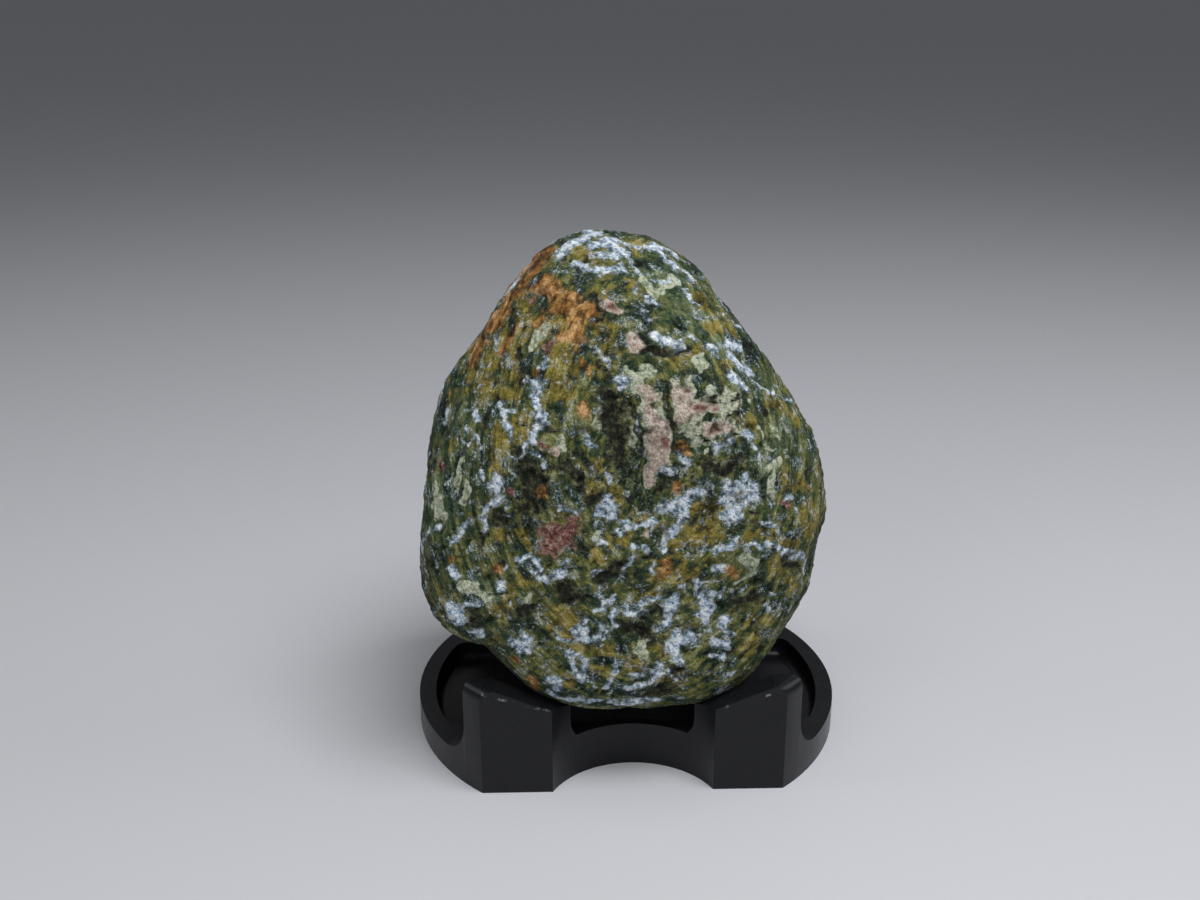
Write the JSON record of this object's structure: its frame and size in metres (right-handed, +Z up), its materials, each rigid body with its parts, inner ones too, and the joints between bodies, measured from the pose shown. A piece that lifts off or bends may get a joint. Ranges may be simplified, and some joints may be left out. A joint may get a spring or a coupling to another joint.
{
  "type": "suiseki viewing stone on stand",
  "caption": "Natural viewing stone, broad below and narrow at the crown, resting between the posts of a low round black plastic display stand.",
  "frame": {"origin": "on the surface the stand rests on, under the middle of the stand", "axes": "+Z up, -Y towards the viewer at the flat-cut front of the stand, +X to the viewer's right"},
  "size_m": [0.165, 0.123, 0.1932],
  "materials": {
    "stone": "matte, rough natural skin, mottled olive, dark green, bluish white, rust and pale pink",
    "black_plastic": "black, satin to semi-gloss, as moulded"
  },
  "bodies": {
    "root": {"stone": "stone", "stand": "black_plastic"}
  },
  "joints": []
}
